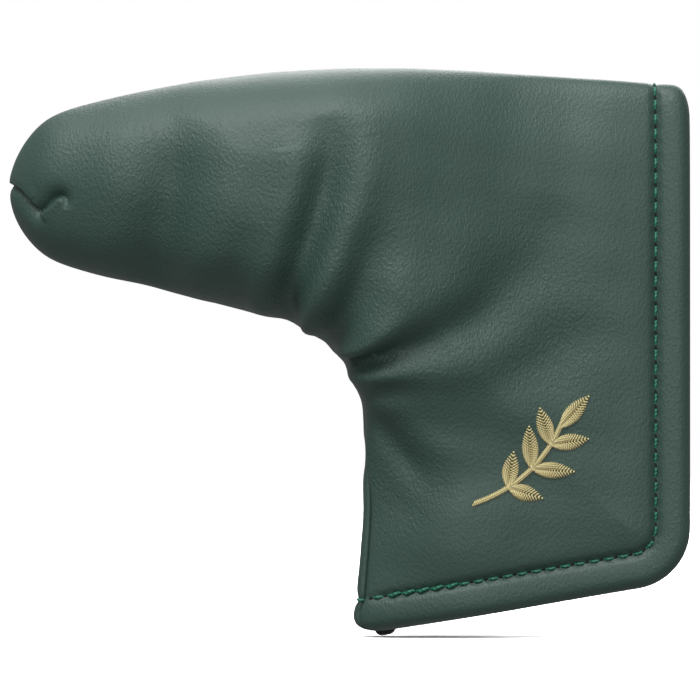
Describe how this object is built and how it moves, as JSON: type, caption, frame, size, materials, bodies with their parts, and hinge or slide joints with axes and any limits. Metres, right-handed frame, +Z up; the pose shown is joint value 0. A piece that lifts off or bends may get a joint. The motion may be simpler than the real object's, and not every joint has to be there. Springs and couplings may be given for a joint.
{
  "type": "putter head cover",
  "caption": "Padded leather cover for a blade putter head, sewn round the toe and neck, with two magnet flaps that open along the heel and bottom.",
  "frame": {"origin": "where the shaft's line meets the middle of the putter head that the cover holds", "axes": "+X from the toe to the heel, +Y from the front panel to the rear one, +Z up the cover as it stands on a club in a bag"},
  "size_m": [0.15, 0.0367, 0.1242],
  "materials": {
    "leather": "smooth grained, semi-matte, dark green",
    "foam": "open-cell foam sheet",
    "lining": "short black plush",
    "thread": "bonded polyester sewing thread",
    "magnet": "nickel plated",
    "magnet_pouch": "plain woven cotton",
    "embroidery": "satin-stitched rayon thread",
    "stabiliser": "pressed non-woven sheet"
  },
  "bodies": {
    "cover_body": {"front_leather_body": "leather", "rear_leather_body": "leather", "front_foam_body": "foam", "rear_foam_body": "foam", "front_lining_body": "lining", "rear_lining_body": "lining", "joining_seam_thread": "thread", "joining_seam_bobbin_thread": "thread", "top_hem_stitch": "thread", "neck_hem_stitch": "thread"},
    "front_flap": {"front_leather_flap": "leather", "front_foam_flap": "foam", "front_lining_flap": "lining", "front_hem_stitch": "thread", "front_hem_bobbin_thread": "thread", "front_magnet_1": "magnet", "front_magnet_2": "magnet", "front_magnet_3": "magnet", "front_magnet_pouch_1": "magnet_pouch", "front_magnet_pouch_2": "magnet_pouch", "front_magnet_pouch_3": "magnet_pouch", "embroidered_sprig": "embroidery", "embroidery_backing": "stabiliser"},
    "rear_flap": {"rear_leather_flap": "leather", "rear_foam_flap": "foam", "rear_lining_flap": "lining", "rear_hem_stitch": "thread", "rear_hem_bobbin_thread": "thread", "rear_magnet_1": "magnet", "rear_magnet_2": "magnet", "rear_magnet_3": "magnet", "rear_magnet_pouch_1": "magnet_pouch", "rear_magnet_pouch_2": "magnet_pouch", "rear_magnet_pouch_3": "magnet_pouch"}
  },
  "joints": [
    {"name": "front_flap_open", "type": "hinge", "parent": "cover_body", "child": "front_flap", "pos_m": [0.0377, -0.01086, 0.02286], "axis": [-0.511, 0, -0.8596], "range_deg": [0, 50], "stiffness_Nm_per_rad": 0.01, "springref_deg": -17.19},
    {"name": "rear_flap_open", "type": "hinge", "parent": "cover_body", "child": "rear_flap", "pos_m": [0.0377, 0.01086, 0.02286], "axis": [0.511, 0, 0.8596], "range_deg": [0, 50], "stiffness_Nm_per_rad": 0.01, "springref_deg": -17.19}
  ]
}
